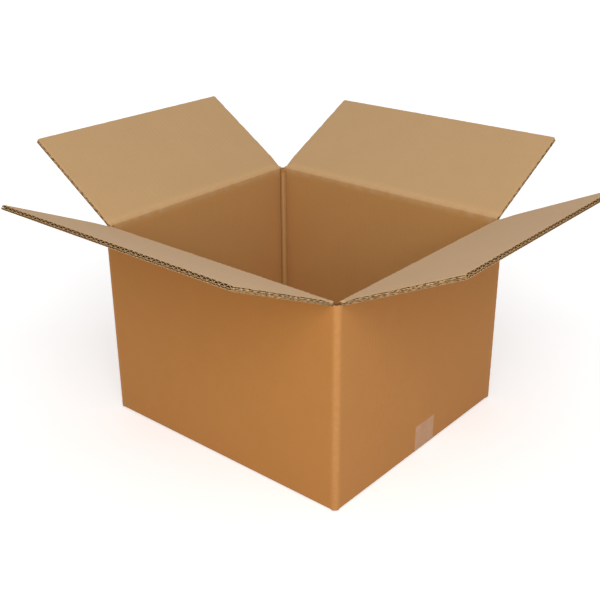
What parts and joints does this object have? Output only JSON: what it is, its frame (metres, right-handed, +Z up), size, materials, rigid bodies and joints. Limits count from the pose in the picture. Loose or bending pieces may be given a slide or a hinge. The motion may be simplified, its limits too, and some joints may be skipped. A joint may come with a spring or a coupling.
{
  "type": "open cardboard box",
  "caption": "Open double-wall corrugated carton, its hinged top flaps turned out and its folded base taped shut.",
  "frame": {"origin": "centre of the box's footprint, in the plane that it stands on", "axes": "+X along the long walls towards the wall with the tape tab in view, +Y along the short walls towards the back, +Z up"},
  "size_m": [0.7908, 0.7641, 0.4237],
  "materials": {
    "board": "matt kraft liner",
    "tape": "tan packing tape, slightly see-through"
  },
  "bodies": {
    "carton": {"carton_body": "board", "seam_tape": "tape"},
    "front": {"front_flap": "board"},
    "back": {"back_flap": "board"},
    "left": {"left_flap": "board"},
    "right": {"right_flap": "board"}
  },
  "joints": [
    {"name": "front_crease", "type": "hinge", "parent": "carton", "child": "front", "pos_m": [0, -0.2035, 0.3143], "axis": [1, 0, 0], "range_deg": [-155.5, 84.5]},
    {"name": "back_crease", "type": "hinge", "parent": "carton", "child": "back", "pos_m": [0, 0.2035, 0.3143], "axis": [-1, 0, 0], "range_deg": [-152.5, 87.5]},
    {"name": "right_crease", "type": "hinge", "parent": "carton", "child": "right", "pos_m": [0.22366, 0, 0.3105], "axis": [0, 1, 0], "range_deg": [-154.5, 85.5]},
    {"name": "left_crease", "type": "hinge", "parent": "carton", "child": "left", "pos_m": [-0.22407, 0, 0.3105], "axis": [0, -1, 0], "range_deg": [-147, 93]}
  ]
}
